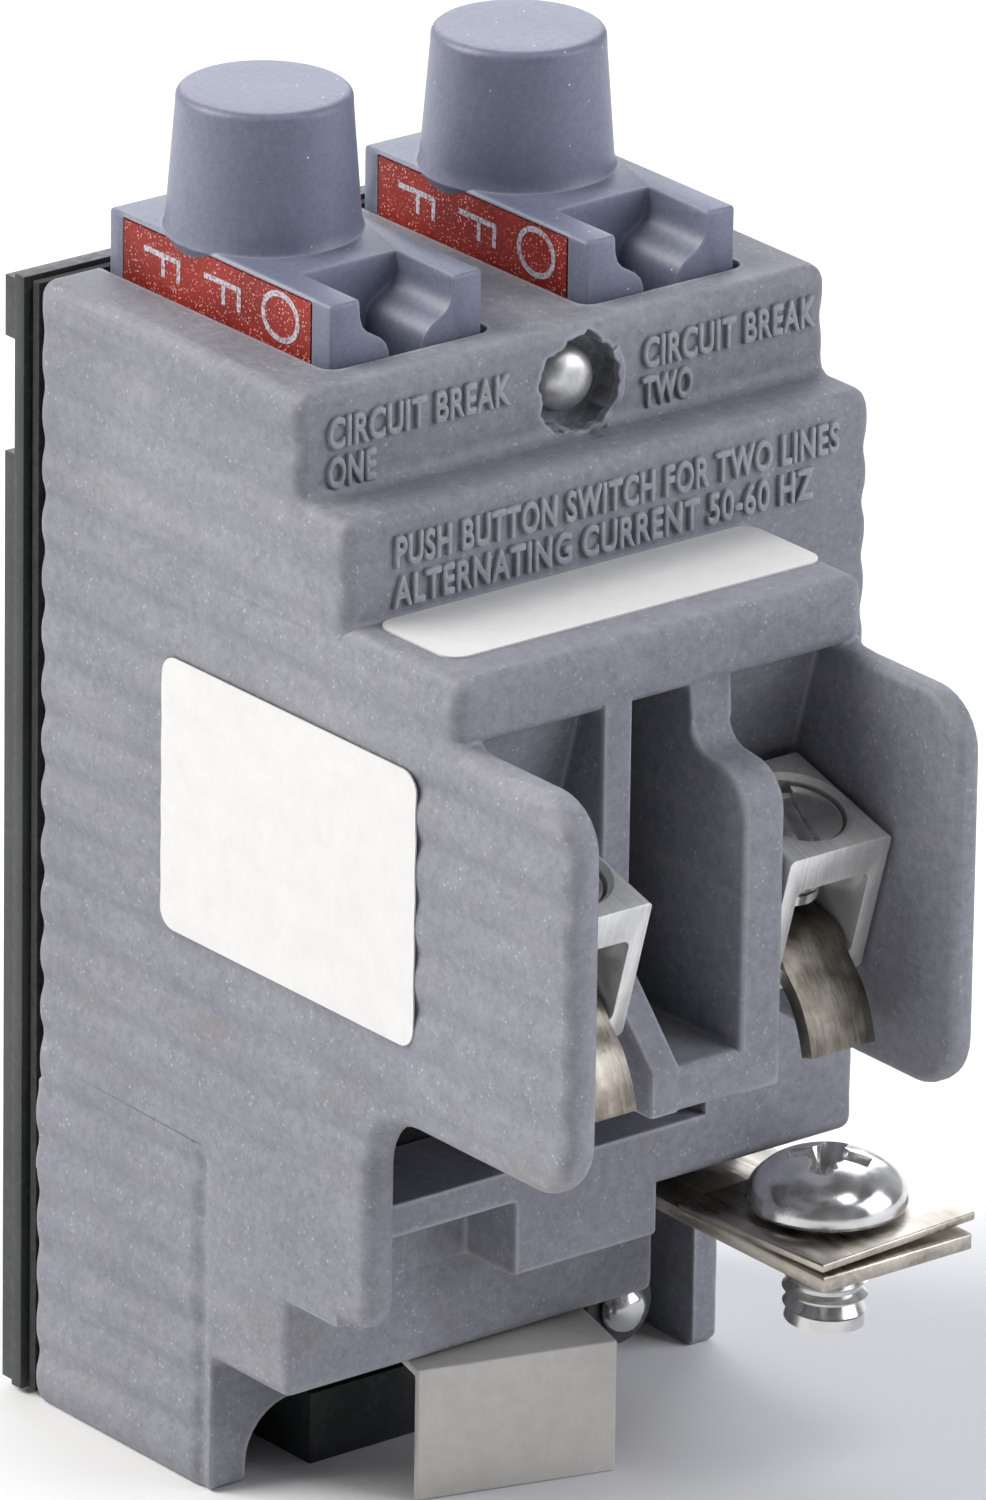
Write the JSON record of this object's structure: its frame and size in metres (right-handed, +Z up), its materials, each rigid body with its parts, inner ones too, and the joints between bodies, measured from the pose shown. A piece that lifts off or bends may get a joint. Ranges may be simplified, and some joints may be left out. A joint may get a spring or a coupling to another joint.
{
  "type": "twin push-button circuit breaker",
  "caption": "Twin push-button bolt-on circuit breaker with wire lugs, line strap, return springs, contact arms, trip latches and rear cover as separate pieces",
  "frame": {"origin": "underside of the rail foot's front land, halfway across the case", "axes": "+X across the width towards the line terminal, -Y the front with the terminals, +Z up, against the way the buttons are pushed"},
  "size_m": [0.0387, 0.0526, 0.0815],
  "materials": {
    "case_grey": "moulded, fine speckle",
    "button_grey": "moulded, fine grain",
    "flag_red": "printed red",
    "black_phenolic": "moulded black",
    "grey_fibre": "pressed fibre",
    "buff_fibre": "pressed fibre card",
    "label_paper": "paper label",
    "lug_aluminium": "extruded",
    "zinc_steel": "zinc plated",
    "tinned_copper": "tin plated strip",
    "dull_copper": "dull copper alloy strip",
    "contact_silver": "silver alloy",
    "frame_steel": "plain steel"
  },
  "bodies": {
    "case": {"arc_chute_a": "frame_steel", "arc_chute_b": "frame_steel", "bimetal_a": "frame_steel", "bimetal_b": "frame_steel", "braid_a": "dull_copper", "braid_b": "dull_copper", "case_rivet_foot": "zinc_steel", "case_rivet_upper": "zinc_steel", "fibre_tab": "buff_fibre", "fixed_contact_a": "contact_silver", "fixed_contact_b": "contact_silver", "housing": "case_grey", "latch_pin_a": "frame_steel", "latch_pin_b": "frame_steel", "line_strap": "tinned_copper", "load_strap_a": "dull_copper", "load_strap_b": "dull_copper", "magnet_yoke_a": "frame_steel", "magnet_yoke_b": "frame_steel", "mechanism_frame_a": "frame_steel", "mechanism_frame_b": "frame_steel", "pivot_pin_a": "frame_steel", "pivot_pin_b": "frame_steel", "pole_partition": "grey_fibre", "rail_foot": "black_phenolic", "rear_cover": "black_phenolic", "rear_liner": "grey_fibre", "return_spring_a": "frame_steel", "return_spring_b": "frame_steel", "side_label": "label_paper", "tread_label": "label_paper", "vent_screen_a": "grey_fibre", "vent_screen_b": "grey_fibre", "wire_lug_a": "lug_aluminium", "wire_lug_b": "lug_aluminium"},
    "button_a": {"button_a": "button_grey", "off_flag_a": "flag_red"},
    "contact_arm_a": {"contact_arm_a": "dull_copper", "moving_contact_a": "contact_silver"},
    "trip_latch_a": {"trip_latch_a": "frame_steel"},
    "lug_screw_a": {"lug_screw_a": "zinc_steel"},
    "button_b": {"button_b": "button_grey", "off_flag_b": "flag_red"},
    "contact_arm_b": {"contact_arm_b": "dull_copper", "moving_contact_b": "contact_silver"},
    "trip_latch_b": {"trip_latch_b": "frame_steel"},
    "lug_screw_b": {"lug_screw_b": "zinc_steel"},
    "line_screw": {"line_screw": "zinc_steel"},
    "line_clamp_plate": {"line_clamp_plate": "tinned_copper"}
  },
  "joints": [
    {"name": "button_press_a", "type": "slide", "parent": "case", "child": "button_a", "axis": [0, 0, 1], "range_m": [-0.0036, 0], "stiffness_N_per_m": 400, "springref_m": 0.0015, "deforming": ["return_spring_a"]},
    {"name": "contact_swing_a", "type": "hinge", "parent": "case", "child": "contact_arm_a", "pos_m": [-0.00915, 0.0004, 0.044], "axis": [1, 0, 0], "range_deg": [-12.5, 0.5]},
    {"name": "latch_trip_a", "type": "hinge", "parent": "case", "child": "trip_latch_a", "pos_m": [-0.00915, -0.0073, 0.056], "axis": [1, 0, 0], "range_deg": [-6, 0], "stiffness_Nm_per_rad": 0.02, "springref_deg": 1.15},
    {"name": "lug_screw_drive_a", "type": "slide", "parent": "case", "child": "lug_screw_a", "axis": [0, -0.2756, 0.9613], "range_m": [-0.001, 0.0025]},
    {"name": "button_press_b", "type": "slide", "parent": "case", "child": "button_b", "axis": [0, 0, 1], "range_m": [-0.0036, 0], "stiffness_N_per_m": 400, "springref_m": 0.0015, "deforming": ["return_spring_b"]},
    {"name": "contact_swing_b", "type": "hinge", "parent": "case", "child": "contact_arm_b", "pos_m": [0.00915, 0.0004, 0.044], "axis": [1, 0, 0], "range_deg": [-12.5, 0.5]},
    {"name": "latch_trip_b", "type": "hinge", "parent": "case", "child": "trip_latch_b", "pos_m": [0.00915, -0.0073, 0.056], "axis": [1, 0, 0], "range_deg": [-6, 0], "stiffness_Nm_per_rad": 0.02, "springref_deg": 1.15},
    {"name": "lug_screw_drive_b", "type": "slide", "parent": "case", "child": "lug_screw_b", "axis": [0, -0.2756, 0.9613], "range_m": [-0.001, 0.0025]},
    {"name": "line_screw_drive", "type": "slide", "parent": "case", "child": "line_screw", "axis": [0, 0, 1], "range_m": [0, 0.006]},
    {"name": "clamp_plate_lift", "type": "slide", "parent": "case", "child": "line_clamp_plate", "axis": [0, 0, 1], "range_m": [0, 0.0015]}
  ],
  "couplings": [
    {"joint": "contact_swing_a", "follows": "button_press_a", "rad_per_m": 58.178},
    {"joint": "contact_swing_b", "follows": "button_press_b", "rad_per_m": 58.178},
    {"joint": "clamp_plate_lift", "follows": "line_screw_drive", "ratio": 0.25}
  ]
}
